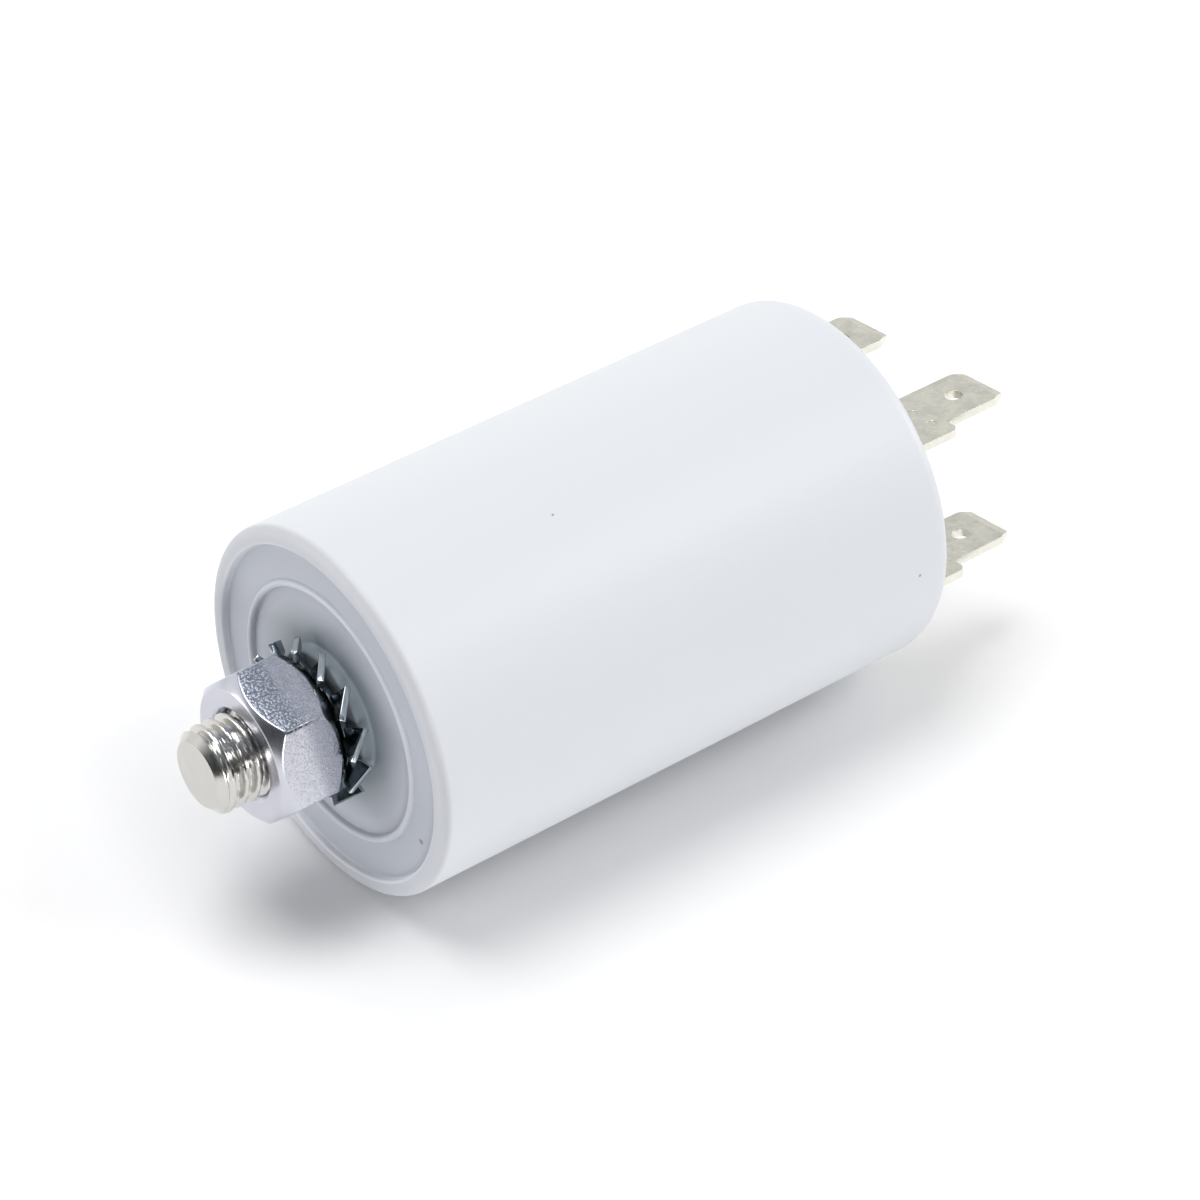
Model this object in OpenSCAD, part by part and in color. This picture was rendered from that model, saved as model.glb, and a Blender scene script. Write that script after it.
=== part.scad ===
// Motor run capacitor: a round moulded can with a threaded fixing stud in its closed end
// and two riveted double-tab terminals in the lid of its other end. It lies on its side.
//
// Every piece is drawn about the can's own axis, with z = 0 at the rim of the stud end and
// z = can_l at the rim of the terminal end. lay() then lays it along +X: the can's x goes
// to +Y and its y goes to +Z.

/* [Can] */
// Outside diameter of the can
can_d = 35; // [34:0.5:40]
// Length of the can over its two rims
can_l = 57; // [50:1:80]
// Thickness of the side wall
wall = 2.1; // [1.9:0.1:2.4]
// Thickness of the closed end
bottom_t = 2.7; // [2:0.1:3.5]
// How far the closed end lies below its rim
recess = 0.7; // [0.3:0.1:1.2]
// Radius on the outer edge of the stud end
stud_edge_r = 0.9; // [0.4:0.1:1.2]
// Radius on the shoulder of the terminal end
shoulder_r = 1.5; // [0.8:0.1:1.6]

/* [Closed end] */
// Width of the rim round the recess
rim_w = 1.7; // [1.3:0.1:2]
// Mean radius of the raised ring in the recess
ring_r = 12.05; // [10:0.05:13]
// Width of the raised ring
ring_w = 0.65; // [0.4:0.05:1]
// Height of the raised ring
ring_h = 0.4; // [0.2:0.05:0.6]
// Radius of the seat round the stud
seat_r = 6.2; // [6:0.1:8]
// How far the seat stands out past the rim
seat_proud = 0.4; // [0:0.1:1]

/* [Stud, washer and nut] */
// Thread diameter of the stud
stud_d = 8; // [8]
// Length of the stud past the can's rim
stud_out = 13.2; // [12.5:0.1:20]
// Chamfer on the stud's tip
tip_chamfer = 0.9; // [0.5:0.1:1.2]
// Width across flats of the nut and of the stud's head
flats = 13; // [13]
// Height of the nut
nut_h = 6.5; // [5:0.5:8]
// Turn of the nut about the stud, in degrees
nut_turn = 15.5; // [0:0.5:60]
// Number of teeth round the lock washer
teeth = 12; // [8:1:14]
// Twist of each tooth out of the washer's plane, in degrees
tooth_twist = 38; // [25:1:45]
// Thickness of the washer's sheet
washer_t = 0.6; // [0.5:0.1:0.9]

/* [Lid and terminals] */
// Thickness of the lid
lid_t = 2.5; // [2:0.1:3.5]
// How far the lid lies below the rim
lid_drop = 1.5; // [1:0.1:2.5]
// Turn of the lid and all that hangs from it about the can's axis, in degrees
lid_turn = -8; // [-180:1:180]
// Half the distance between the two terminals
terminal_y = 8; // [7.5:0.1:8.2]
// Half the distance between the two tabs of one terminal
tab_gap = 7.4; // [6.5:0.1:7.6]
// Height of the tab tips past the rim
tab_out = 12.5; // [11.5:0.1:14]
// Width of a tab
tab_w = 6.3; // [6.3]
// Thickness of a tab
tab_t = 0.8; // [0.8]
// Length of a tab down to its shoulder
tab_l = 7.2; // [6.5:0.1:7.8]
// Width of the shoulder beside a tab
shoulder_w = 1.7; // [1:0.1:2]

/* [Hidden] */
$fn = 96;
eps = 0.01;

// colours
can_white = [0.93, 0.93, 0.95];
zinc = [0.70, 0.74, 0.80];
nickel = [0.74, 0.73, 0.70];
tin = [0.72, 0.71, 0.67];
film_grey = [0.80, 0.82, 0.84];
spray_grey = [0.55, 0.56, 0.58];
resin_amber = [0.80, 0.72, 0.50];
wire_blue = [0.20, 0.35, 0.70];
solder_grey = [0.66, 0.67, 0.69];

// can
can_r = can_d / 2;
bore_r = can_r - wall;
ledge = 0.45;                               // step in the wall that the lid rests on
lid_r = bore_r + ledge;
rim_r = can_r - rim_w;                      // inner radius of the rim at the stud end
floor_z = recess + bottom_t;                // inside of the closed end
inner_dip = 0.15;                           // the recess is this much deeper inside the ring
boss_r = 9.5;                               // boss inside that holds the stud's head

// stud, washer and nut
stud_r = stud_d / 2;
pitch_r = stud_r - 0.4;                     // where the engaged threads of stud and nut meet
head_h = 4;
head_z = floor_z + 0.8;                     // underside of the stud's head
boss_z = head_z + head_h;                   // top of the boss, flush with the head
washer_r = 7.5;
washer_hole_r = 4.2;
washer_ring_r = 5.7;                        // outside of the washer's flat ring
tooth_start = washer_ring_r - 0.6;          // where the teeth grow out of it
tooth_start_w = 1.9;
tooth_tip_w = 3.1;
seat_z = -seat_proud;
seat_bevel = 0.3;                           // on the outer edge of the seat
nut_face_r = flats / 2 - 0.35;              // inner edge of the nut's chamfer
washer_z = seat_z - tooth_reach(seat_r - seat_bevel);  // middle of the washer's sheet
nut_z = washer_z - tooth_reach(nut_face_r); // face of the nut against the washer
nut_front_z = nut_z - nut_h;
nut_corner_r = flats / 2 / cos(30);
nut_chamfer = 45;                           // angle of the chamfer on both faces

// lid and terminals
lid_z = can_l - lid_drop - lid_t;           // underside of the lid
lid_top = lid_z + lid_t;
pad_h = 1;                                  // raised pad under each terminal
base_z = lid_top + pad_h;                   // underside of a terminal's base strip
base_w = tab_w + shoulder_w;
base_y = terminal_y + shoulder_w / 2;       // middle of the base strip, and of its rivet
pad_w = base_w + 0.6;
pad_l = 2 * tab_gap + tab_t + 0.6;
bend_r = 0.8;                               // inside radius of the bends
tip_z = can_l + tab_out;
rivet_r = 2;
rivet_head_r = 3.3;
rivet_head_h = 0.9;
rivet_foot_r = 2.9;
rivet_foot_h = 0.8;
tag_t = 0.5;
tag_z = lid_z - tag_t;                      // underside of a solder tag
tag_reach = 5.2;                            // from the rivet to the end of the tag's tongue

// winding
spacer_h = 2.2;
spacer_hole_r = 5.5;
winding_z = boss_z + spacer_h;              // bottom of the lower metal spray
spray_t = 0.5;
lead_room = 7;                              // between the winding and the lid
winding_top = lid_z - lead_room;
core_r = 3.2;
core_hole_r = 2.2;
wrap_t = 0.3;
winding_r = bore_r - 2.5;
wrap_r = winding_r + wrap_t;

// leads
wire_r = 0.45;
sleeve_r = 0.85;
lead_bend = 1.2;                            // bend radius of a lead at its middle
lead_lift = 0.1;                            // solder between a lead and what it is soldered to
long_x = (wrap_r + bore_r) / 2;             // where the long lead runs beside the winding
long_low_z = winding_z - wire_r - lead_lift;    // it lies under the lower spray
long_high_z = tag_z - wire_r - lead_lift;   // and under the solder tag
long_foot = 3.2;                            // length that lies under the lower spray
long_hand = 2.2;                            // length that lies under the tag
short_x = base_y + tag_reach - 1;           // where the short lead rises to its tag
short_z = winding_top + wire_r + lead_lift; // it lies on the upper spray
short_foot = 3.4;
sleeve_gap = 0.4;                           // bare wire between a sleeve and what comes next
bead_r = 1.2;                               // solder bead at the face it holds to
bead_end_r = 0.8;
bead_h = 1.2;
short_sleeve = [short_z + lead_bend + sleeve_gap, tag_z - bead_h - sleeve_gap];
long_sleeve = [long_low_z + lead_bend + sleeve_gap, long_high_z - lead_bend - sleeve_gap];

// How far a twisted tooth stands off the washer's middle plane at radius r, where a round
// face of that radius ends
function tooth_reach(r) = let (
    x = r - 0.08,
    half_w = (tooth_start_w + (tooth_tip_w - tooth_start_w)
        * (x - tooth_start) / (washer_r - tooth_start)) / 2)
    half_w * sin(tooth_twist) + washer_t / 2 * cos(tooth_twist);

// ---- helpers ----

// Lays a piece drawn about the can's axis along +X, on z = 0, centred in its length
module lay() translate([-(tip_z - stud_out) / 2, 0, can_r]) rotate([90, 0, 90]) children();

// The same for what turns with the lid
module lay_turned() lay() rotate([0, 0, lid_turn]) children();

// Points on an arc about [cx, cy], from angle a0 to a1
function arc(cx, cy, r, a0, a1, n = 6) =
    [for (i = [0:n]) let (a = a0 + (a1 - a0) * i / n) [cx + r * cos(a), cy + r * sin(a)]];

// A ring of rectangular section
module tube(r_out, r_in, z0, z1) rotate_extrude()
    translate([r_in, z0]) square([r_out - r_in, z1 - z0]);

module disc(r, z0, z1) translate([0, 0, z0]) cylinder(r = r, h = z1 - z0);

// A hexagonal prism, turned so that its corners start at the angle turn
module hexagon(corner_r, z0, z1, turn = 0)
    translate([0, 0, z0]) rotate([0, 0, turn]) cylinder(r = corner_r, h = z1 - z0, $fn = 6);

// A quarter bend of round wire in the XZ plane, about [cx, cz], over one quarter of a turn
module wire_bend(r, cx, cz, from) translate([cx, 0, cz]) rotate([90, 0, 0])
    rotate([0, 0, from]) rotate_extrude(angle = 90) translate([lead_bend, 0]) circle(r = r);

// A straight round wire in the XZ plane, along X or Z
module wire_x(r, x0, x1, z) translate([x0, 0, z]) rotate([0, 90, 0]) cylinder(r = r, h = x1 - x0);
module wire_z(r, x, z0, z1) translate([x, 0, z0]) cylinder(r = r, h = z1 - z0);

// ---- can ----

// Closed end with rim, recess, raised ring and seat, side wall and open terminal end
function can_outline() = concat(
    [[stud_r, seat_z], [seat_r - seat_bevel, seat_z], [seat_r, seat_z + seat_bevel],
     [seat_r, recess + inner_dip]],
    [[ring_r - ring_w / 2, recess + inner_dip]],
    arc(ring_r, recess - ring_h + ring_w / 2, ring_w / 2, 180, 360),
    [[ring_r + ring_w / 2, recess], [rim_r, recess]],
    arc(rim_r + 0.25, 0.25, 0.25, 180, 270, 3),
    arc(can_r - stud_edge_r, stud_edge_r, stud_edge_r, -90, 0),
    arc(can_r - shoulder_r, can_l - shoulder_r, shoulder_r, 0, 90, 8),
    [[lid_r, can_l - 0.15], [lid_r, lid_z], [bore_r, lid_z], [bore_r, floor_z],
     [boss_r, floor_z], [boss_r, boss_z], [stud_r, boss_z]]);

module can() color(can_white) lay() difference() {
    rotate_extrude() polygon(can_outline());
    hexagon(nut_corner_r, head_z, boss_z + 1, nut_turn);
}

// ---- stud, washer and nut ----

module stud_body() {
    disc(stud_r, nut_z, head_z + eps);
    disc(pitch_r, nut_front_z - eps, nut_z + eps);
    disc(stud_r, -stud_out + tip_chamfer, nut_front_z);
    translate([0, 0, -stud_out])
        cylinder(r1 = stud_r - tip_chamfer, r2 = stud_r, h = tip_chamfer);
    hexagon(nut_corner_r, head_z, boss_z, nut_turn);
}

module mounting_stud() color(nickel) lay() stud_body();

// One tooth of the lock washer: wider at its tip, and twisted about its own length
module tooth() rotate([-tooth_twist, 0, 0]) translate([0, 0, -washer_t / 2])
    linear_extrude(washer_t) polygon([
        [tooth_start, -tooth_start_w / 2], [washer_r, -tooth_tip_w / 2],
        [washer_r, tooth_tip_w / 2], [tooth_start, tooth_start_w / 2]]);

module lock_washer() color(zinc) lay() translate([0, 0, washer_z]) {
    tube(washer_ring_r, washer_hole_r, -washer_t / 2, washer_t / 2);
    for (i = [0:teeth - 1]) rotate([0, 0, (i + 0.5) * 360 / teeth]) tooth();
}

// Hexagon cut by a cone at each face, with a countersink at each end of its thread
module hex_nut() color(zinc) lay() difference() {
    intersection() {
        hexagon(nut_corner_r, nut_front_z, nut_z, nut_turn);
        rotate_extrude() polygon(let (
            out_r = nut_corner_r + 0.5,
            drop = (out_r - nut_face_r) * tan(nut_chamfer))
            [[0, nut_front_z], [nut_face_r, nut_front_z], [out_r, nut_front_z + drop],
             [out_r, nut_z - drop], [nut_face_r, nut_z], [0, nut_z]]);
    }
    disc(pitch_r, nut_front_z - 1, nut_z + 1);
    translate([0, 0, nut_front_z - eps])
        cylinder(r1 = stud_r + 0.35 + eps, r2 = pitch_r, h = 0.75 + eps);
    translate([0, 0, nut_z - 0.75])
        cylinder(r1 = pitch_r, r2 = stud_r + 0.35 + eps, h = 0.75 + eps);
}

// ---- lid and terminals; side is -1 at the front and 1 at the rear ----

// A block on top of the lid, centred at x
module block(x, w, l, h)
    translate([x - w / 2, -l / 2, lid_top - eps]) cube([w, l, h + eps]);

module lid() color(can_white) lay_turned() difference() {
    union() {
        disc(lid_r, lid_z, lid_top);
        // a pad under each terminal, and a low rib between them
        for (side = [-1, 1]) block(side * base_y, pad_w, pad_l, pad_h);
        block(0, 1.6, 2 * bore_r - 6, 2);
    }
    for (side = [-1, 1]) translate([side * base_y, 0, lid_z - 1]) cylinder(r = rivet_r, h = 9);
}

// The flat outline of one standing tab, x across its width and y up from the bend.
// Its shoulder is on the +x side, and its tip has tapered corners.
module tab_outline(h) {
    inner = -base_w / 2;
    outer = inner + tab_w;
    polygon([[inner, 0], [base_w / 2, 0], [base_w / 2, h - tab_l - 0.5],
             [base_w / 2 - 0.5, h - tab_l], [outer, h - tab_l], [outer, h - 1.3],
             [outer - 0.65, h], [inner + 0.65, h], [inner, h - 1.3]]);
}

// Side view of a tab: x through its thickness and y up, thinned at the tip
module tab_section(h) polygon([
    [-tab_t / 2, 0], [tab_t / 2, 0], [tab_t / 2, h - 0.9], [tab_t / 2 - 0.22, h],
    [-tab_t / 2 + 0.22, h], [-tab_t / 2, h - 0.9]]);

// One standing tab with its detent hole and two coined marks on its outer face
module tab(h) difference() {
    intersection() {
        translate([0, tab_t / 2 + 1, 0]) rotate([90, 0, 0]) linear_extrude(tab_t + 2) tab_outline(h);
        rotate([90, 0, 90]) translate([0, 0, -base_w]) linear_extrude(2 * base_w) tab_section(h);
    }
    translate([-shoulder_w / 2, 0, h - 3.6]) rotate([90, 0, 0])
        cylinder(r = 0.85, h = 4, center = true);
    for (x = [-1.1, 1.6]) translate([x, tab_t / 2 - 0.15, h - 8.4]) rotate([-90, 0, 0])
        cylinder(r = 0.5, h = 1);
}

// A strip with a rivet hole, bent up into a tab at each end
module terminal(side) color(tin) lay_turned() translate([side * base_y, 0, base_z])
    mirror([side < 0 ? 1 : 0, 0, 0]) {
        flat = tab_gap - tab_t / 2 - bend_r;
        difference() {
            translate([-base_w / 2, -flat, 0]) cube([base_w, 2 * flat, tab_t]);
            translate([0, 0, -1]) cylinder(r = rivet_r, h = 4);
        }
        for (end = [0, 1]) mirror([0, end, 0]) {
            translate([-base_w / 2, flat, tab_t + bend_r]) rotate([0, 90, 0])
                rotate_extrude(angle = 90) translate([bend_r, 0]) square([tab_t, base_w]);
            translate([0, tab_gap, tab_t + bend_r]) tab(tip_z - base_z - tab_t - bend_r);
        }
    }

// Solid rivet: a low head on the terminal, a shank through the lid and an upset foot
module rivet(side) color(tin) lay_turned() translate([side * base_y, 0, 0]) {
    disc(rivet_r, tag_z - eps, base_z + tab_t + eps);
    rotate_extrude() polygon(concat(
        [[0, base_z + tab_t]],
        [[rivet_head_r, base_z + tab_t], [rivet_head_r, base_z + tab_t + 0.3]],
        arc(rivet_head_r - 0.6, base_z + tab_t + rivet_head_h - 0.6, 0.6, 0, 90),
        [[0, base_z + tab_t + rivet_head_h]]));
    disc(rivet_foot_r, tag_z - rivet_foot_h, tag_z);
}

// A round eye with a tongue along +x
module tag_plate(h) {
    cylinder(r = 3.5, h = h);
    translate([0, -1.7, 0]) cube([tag_reach, 3.4, h]);
}

// Tag under the lid, with a tongue that its lead is soldered to
module solder_tag(side) color(tin) lay_turned() translate([side * base_y, 0, tag_z])
    mirror([side < 0 ? 1 : 0, 0, 0]) difference() {
        tag_plate(tag_t);
        translate([0, 0, -1]) cylinder(r = rivet_r, h = 3);
    }

// ---- winding ----

module film_winding() color(film_grey) lay()
    tube(winding_r, core_r, winding_z + spray_t, winding_top - spray_t);

module core_tube() color(can_white) lay() tube(core_r, core_hole_r, winding_z, winding_top);

module metal_spray(z) color(spray_grey) lay() tube(winding_r, core_r, z, z + spray_t);

module winding_wrap() color(film_grey) lay() tube(wrap_r, winding_r, winding_z, winding_top);

module winding_spacer() color(can_white) lay() tube(boss_r, spacer_hole_r, boss_z, winding_z);

// ---- leads: the short one goes to the front terminal, the long one to the rear ----

module short_wire(r) mirror([1, 0, 0]) {
    wire_x(r, short_x - lead_bend - short_foot, short_x - lead_bend, short_z);
    wire_bend(r, short_x - lead_bend, short_z + lead_bend, 270);
    wire_z(r, short_x, short_z + lead_bend, tag_z);
}

module long_wire(r) {
    wire_x(r, long_x - lead_bend - long_foot, long_x - lead_bend, long_low_z);
    wire_bend(r, long_x - lead_bend, long_low_z + lead_bend, 270);
    wire_z(r, long_x, long_low_z + lead_bend, long_high_z - lead_bend);
    wire_bend(r, long_x - lead_bend, long_high_z - lead_bend, 0);
    wire_x(r, long_x - long_hand, long_x - lead_bend, long_high_z);
}

module short_lead() color(solder_grey) lay_turned() short_wire(wire_r);

module long_lead() color(solder_grey) lay_turned() long_wire(wire_r);

// A sleeve over a lead, between two heights
module sleeve(x, span) color(wire_blue) lay_turned()
    translate([x, 0, 0]) tube(sleeve_r, wire_r, span[0], span[1]);

// A bead of solder, wide at the face it holds to: up is 1 on top of a face, -1 under it
module bead(x, z, up) translate([x, 0, z]) mirror([0, 0, up < 0 ? 1 : 0])
    cylinder(r1 = bead_r, r2 = bead_end_r, h = bead_h);

module upper_bead() bead(-(short_x - lead_bend - short_foot + 1), winding_top, 1);
module lower_bead() bead(long_x - lead_bend - long_foot + 1, winding_z, -1);
module front_bead() bead(-short_x, tag_z, -1);
module rear_bead() bead(long_x - long_hand + 0.9, tag_z, -1);

module solder_upper() color(solder_grey) lay_turned() difference() {
    upper_bead();
    short_wire(wire_r);
}

module solder_lower() color(solder_grey) lay_turned() difference() {
    lower_bead();
    long_wire(wire_r);
}

module solder_front() color(solder_grey) lay_turned() difference() {
    front_bead();
    short_wire(wire_r);
}

module solder_rear() color(solder_grey) lay_turned() difference() {
    rear_bead();
    long_wire(wire_r);
}

// ---- resin that fills what is left inside the can ----

// Everything round: above the boss, in and round the spacer, up the core and round the winding
module resin_round() rotate_extrude() polygon([
    [0, boss_z], [spacer_hole_r, boss_z], [spacer_hole_r, winding_z], [core_hole_r, winding_z],
    [core_hole_r, winding_top], [wrap_r, winding_top], [wrap_r, winding_z], [boss_r, winding_z],
    [boss_r, floor_z], [bore_r, floor_z], [bore_r, lid_z], [0, lid_z]]);

module potting_resin() color(resin_amber) lay() difference() {
    resin_round();
    rotate([0, 0, lid_turn]) {
        short_wire(wire_r);
        long_wire(wire_r);
        wire_z(sleeve_r, -short_x, short_sleeve[0], short_sleeve[1]);
        wire_z(sleeve_r, long_x, long_sleeve[0], long_sleeve[1]);
        upper_bead();
        lower_bead();
        front_bead();
        rear_bead();
        for (side = [-1, 1]) translate([side * base_y, 0, 0]) {
            disc(rivet_foot_r, tag_z - rivet_foot_h, lid_z);
            mirror([side < 0 ? 1 : 0, 0, 0]) translate([0, 0, tag_z]) tag_plate(tag_t + 1);
        }
    }
}

can();
mounting_stud();
lock_washer();
hex_nut();
lid();
terminal(-1);  // terminal_front
terminal(1);  // terminal_rear
rivet(-1);  // rivet_front
rivet(1);  // rivet_rear
solder_tag(-1);  // solder_tag_front
solder_tag(1);  // solder_tag_rear
film_winding();
core_tube();
metal_spray(winding_z);  // metal_spray_lower
metal_spray(winding_top - spray_t);  // metal_spray_upper
winding_wrap();
winding_spacer();
short_lead();
long_lead();
sleeve(-short_x, short_sleeve);  // short_lead_sleeve
sleeve(long_x, long_sleeve);  // long_lead_sleeve
solder_upper();
solder_lower();
solder_front();
solder_rear();
potting_resin();
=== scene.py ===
"""Motor run capacitor: a white moulded can on its side, with its stud, nut and toothed
washer at one end and its riveted push-on tabs at the other. The pieces' places come from
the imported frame; the can's axis lies along X."""

import math

import bmesh
import bpy
from mathutils import Matrix, Vector


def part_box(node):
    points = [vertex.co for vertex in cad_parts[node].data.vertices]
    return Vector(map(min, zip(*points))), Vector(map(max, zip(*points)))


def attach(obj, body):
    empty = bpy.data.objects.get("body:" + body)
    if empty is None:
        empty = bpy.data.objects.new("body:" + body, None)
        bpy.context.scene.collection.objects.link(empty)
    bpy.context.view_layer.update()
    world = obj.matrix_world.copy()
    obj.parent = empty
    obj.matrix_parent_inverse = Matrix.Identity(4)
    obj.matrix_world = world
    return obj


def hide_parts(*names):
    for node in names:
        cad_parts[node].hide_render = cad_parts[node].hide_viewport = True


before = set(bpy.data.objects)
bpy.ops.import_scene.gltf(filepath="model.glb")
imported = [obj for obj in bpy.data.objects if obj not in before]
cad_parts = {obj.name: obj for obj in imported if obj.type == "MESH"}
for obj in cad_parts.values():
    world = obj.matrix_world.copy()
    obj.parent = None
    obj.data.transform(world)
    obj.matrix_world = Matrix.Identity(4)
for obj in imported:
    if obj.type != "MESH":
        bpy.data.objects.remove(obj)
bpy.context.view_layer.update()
MM = 0.001
TURN = 2 * math.pi
SAME_POINT = 1e-7                           # m; points closer than this are one

# ---------------------------------------------------------------- sizes

CAN_LOW, CAN_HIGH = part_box("can")
CAN_R = (CAN_HIGH[2] - CAN_LOW[2]) / 2
AXIS_Z = (CAN_HIGH[2] + CAN_LOW[2]) / 2
SEAT_PROUD = 0.4 * MM                       # the seat stands out past the stud end's rim
RIM_X = CAN_LOW[0] + SEAT_PROUD             # the stud end's rim
CAN_LENGTH = CAN_HIGH[0] - RIM_X
NUT_LOW, NUT_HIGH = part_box("hex_nut")
WASHER_LOW, WASHER_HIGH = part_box("lock_washer")
STUD_LOW, STUD_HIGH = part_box("mounting_stud")
LID_LOW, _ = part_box("lid")
STUD_R = 4 * MM
THREAD_LENGTH = 16.5 * MM                   # from the tip to inside the closed end
FLATS = 13 * MM
NUT_FACE_R = FLATS / 2 - 0.35 * MM          # inner edge of the nut's chamfer
NUT_TURN = math.radians(15.5)
LID_TURN = math.radians(-8)                 # turn of the lid and its terminals about the axis
MARK_FLOOR = 7.65 * MM                      # from the axis to the bottom of a tab's coined mark
MARK_LIFT = 0.09 * MM


def along(x):
    """Distance of a place on X from the stud end's rim."""
    return x - RIM_X


# ---------------------------------------------------------------- meshes


def clean_mesh(mesh):
    """Joins the points that coincide, and turns the faces outwards."""
    bm = bmesh.new()
    bm.from_mesh(mesh)
    bmesh.ops.remove_doubles(bm, verts=bm.verts, dist=SAME_POINT)
    bmesh.ops.recalc_face_normals(bm, faces=bm.faces)
    bm.to_mesh(mesh)
    bm.free()


def new_piece(name, verts, faces, material, smooth):
    """A mesh object at the origin, facing outwards, smooth but for edges over that angle."""
    mesh = bpy.data.meshes.new(name)
    mesh.from_pydata([tuple(v) for v in verts], [], faces)
    clean_mesh(mesh)
    piece = bpy.data.objects.new(name, mesh)
    bpy.context.collection.objects.link(piece)
    return finish_mesh(piece, material, smooth)


def finish_mesh(piece, material, smooth):
    """Shades the piece; a material given here takes the place of those it has."""
    if material:
        piece.data.materials.clear()
        piece.data.materials.append(material)
    piece.data.shade_smooth()
    piece.data.set_sharp_from_angle(angle=math.radians(smooth))
    return piece


def put_in_place(piece, node):
    """The piece moves with the one body, and stands for that CAD node."""
    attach(piece, "root")
    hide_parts(node)


def on_axis(x, r, angle):
    """The point at distance x from the rim, r from the can's axis and that angle from +Y."""
    return Vector((RIM_X + x, r * math.cos(angle), AXIS_Z + r * math.sin(angle)))


def turned_faces(points, steps):
    """Faces of a closed loop of so many points, repeated at so many steps round the axis."""
    faces = []
    for s in range(steps):
        here, there = s * points, (s + 1) % steps * points
        for i in range(points):
            j = (i + 1) % points
            faces.append((here + i, here + j, there + j, there + i))
    return faces


def arc(x, r, radius, start, end, count):
    """Points of an arc about (x, r); angles in degrees, 0 along +x and 90 outwards."""
    angles = [math.radians(start + (end - start) * i / count) for i in range(count + 1)]
    return [(x + radius * math.cos(a), r + radius * math.sin(a)) for a in angles]


def apply_modifiers(piece):
    """Leaves the piece as the plain mesh that its modifiers make."""
    graph = bpy.context.evaluated_depsgraph_get()
    mesh = bpy.data.meshes.new_from_object(piece.evaluated_get(graph))
    piece.modifiers.clear()
    piece.data = mesh


def bevel(piece, width, angle):
    """Rounds the edges sharper than angle, and leaves a plain mesh."""
    step = piece.modifiers.new("rounded_edges", "BEVEL")
    step.width = width
    step.segments = 2
    step.limit_method = "ANGLE"
    step.angle_limit = math.radians(angle)
    step.harden_normals = True
    apply_modifiers(piece)


def dressed_copy(node, material, edge, reshape=None):
    """A copy of a CAD node with its flat faces whole and its edges rounded."""
    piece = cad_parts[node].copy()
    piece.data = piece.data.copy()
    piece.name = node + "_dressed"
    bpy.context.collection.objects.link(piece)
    bm = bmesh.new()
    bm.from_mesh(piece.data)
    bmesh.ops.remove_doubles(bm, verts=bm.verts, dist=0.002 * MM)
    bmesh.ops.dissolve_limit(bm, angle_limit=math.radians(1), verts=bm.verts, edges=bm.edges)
    if reshape:
        reshape(bm)
    bm.to_mesh(piece.data)
    bm.free()
    finish_mesh(piece, material, 30)
    bevel(piece, edge, 30)
    put_in_place(piece, node)


# ---------------------------------------------------------------- node trees

MATH = "ShaderNodeMath"
RANGE = "ShaderNodeMapRange"                # inputs: value, from low, from high, to low, to high
VECTOR_MATH = "ShaderNodeVectorMath"
SEPARATE = "ShaderNodeSeparateXYZ"
COMBINE = "ShaderNodeCombineXYZ"
MIX = "ShaderNodeMix"
FACTOR, FIRST, SECOND, MIXED = 0, 6, 7, 2   # a colour mix's inputs, and its output


def feed(tree, node, links):
    """Gives a node its inputs, in order or by name or number. Each is an output, a plain
    value, or a list of outputs for an input that takes several."""
    named = links if isinstance(links, dict) else dict(enumerate(links))
    for key, given in named.items():
        for value in given if isinstance(given, list) else [given]:
            if isinstance(value, bpy.types.NodeSocket):
                tree.links.new(value, node.inputs[key])
            else:
                node.inputs[key].default_value = value


def add(tree, kind, links=(), **settings):
    """Adds a node with these settings and inputs, and returns its outputs."""
    node = tree.nodes.new(kind)
    for name, value in settings.items():
        setattr(node, name, value)
    feed(tree, node, links)
    return node.outputs


def linear(hex_colour):
    """A linear RGBA colour from an sRGB hex value."""
    channels = [int(hex_colour[i : i + 2], 16) / 255 for i in (1, 3, 5)]
    scaled = [c / 12.92 if c <= 0.04045 else ((c + 0.055) / 1.055) ** 2.4 for c in channels]
    return (*scaled, 1.0)


def new_material(name):
    """A material with its tree to add to, and its Principled shader."""
    material = bpy.data.materials.new(name)
    material.use_nodes = True
    tree = material.node_tree
    return material, tree, tree.nodes["Principled BSDF"]


def grain(tree, size_mm, detail=2.0, stretch=(1, 1, 1)):
    """A noise value, from 0 to 1, whose lumps are about size_mm across."""
    place = add(tree, "ShaderNodeTexCoord")["Object"]
    scaled = add(tree, "ShaderNodeMapping", {"Vector": place, "Scale": stretch})["Vector"]
    return add(tree, "ShaderNodeTexNoise", {
        "Vector": scaled, "Scale": 1 / (size_mm * MM), "Detail": detail})["Fac"]


# ---------------------------------------------------------------- materials

NOISE_LOW, NOISE_HIGH = 0.35, 0.65          # most of a noise's values lie between these
GRAIN_TOP = 0.7                             # a metal's grain is at its full height from here
GRAIN_DETAIL = 3.0
GLOSS_SPREAD = 0.08                         # how far a surface's roughness wanders
CLOUD_MM = 1.6
ALL_SLOPES = (2.0, 3.0)                     # no slope is this steep, so the grain is everywhere
HIGHLIT_EDGE_SLOPES = (0.6, 0.8)                 # faces that point this far sideways were cut, and get the painted edge highlight
CASE_WHITE = linear("#ECEFF3")
FLOOR_SHADE = linear("#C4C8D1")
# painted shadow of the nut and washer on the plastic round them
PAINTED_WASHER_SHADOW = linear("#848F97")
SPECK = linear("#5C5B58")
DULL = linear("#8F8F8F")


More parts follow.
